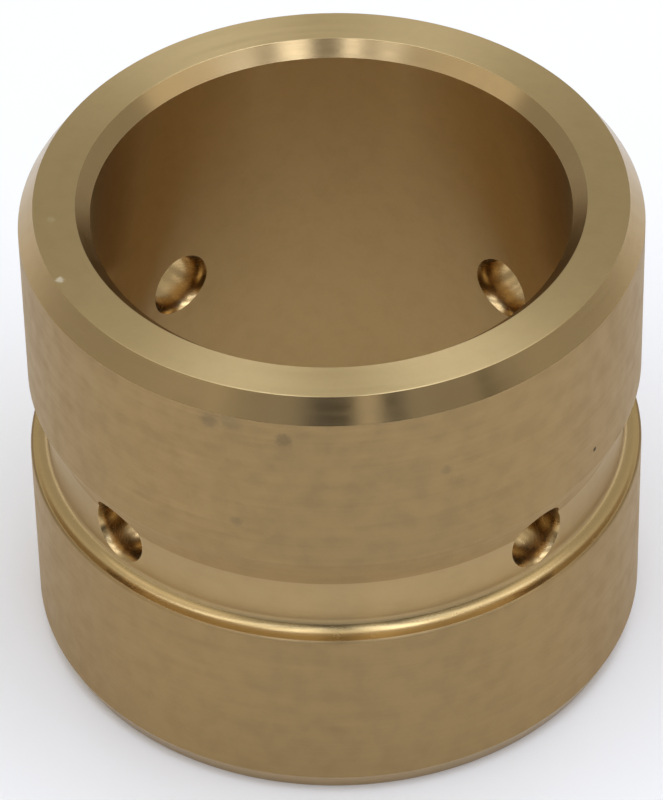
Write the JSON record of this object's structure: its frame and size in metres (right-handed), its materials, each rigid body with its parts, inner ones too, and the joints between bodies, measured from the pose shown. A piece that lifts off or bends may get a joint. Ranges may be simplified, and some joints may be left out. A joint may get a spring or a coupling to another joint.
{
  "type": "sleeve bushing",
  "caption": "Plain cylindrical bearing sleeve with a press collar, an outside oil groove and radial oil holes through to the bore.",
  "frame": {"origin": "centre of the bottom face, on the bore axis", "axes": "+Z along the bore axis, from the press collar's end to the lead-in end; -Y is the front, midway between two oil holes"},
  "size_m": [0.0654, 0.0654, 0.0545],
  "materials": {
    "turned_bronze": "fine-turned bearing bronze, satin, unlacquered"
  },
  "bodies": {
    "root": {"bushing_sleeve": "turned_bronze"}
  },
  "joints": []
}
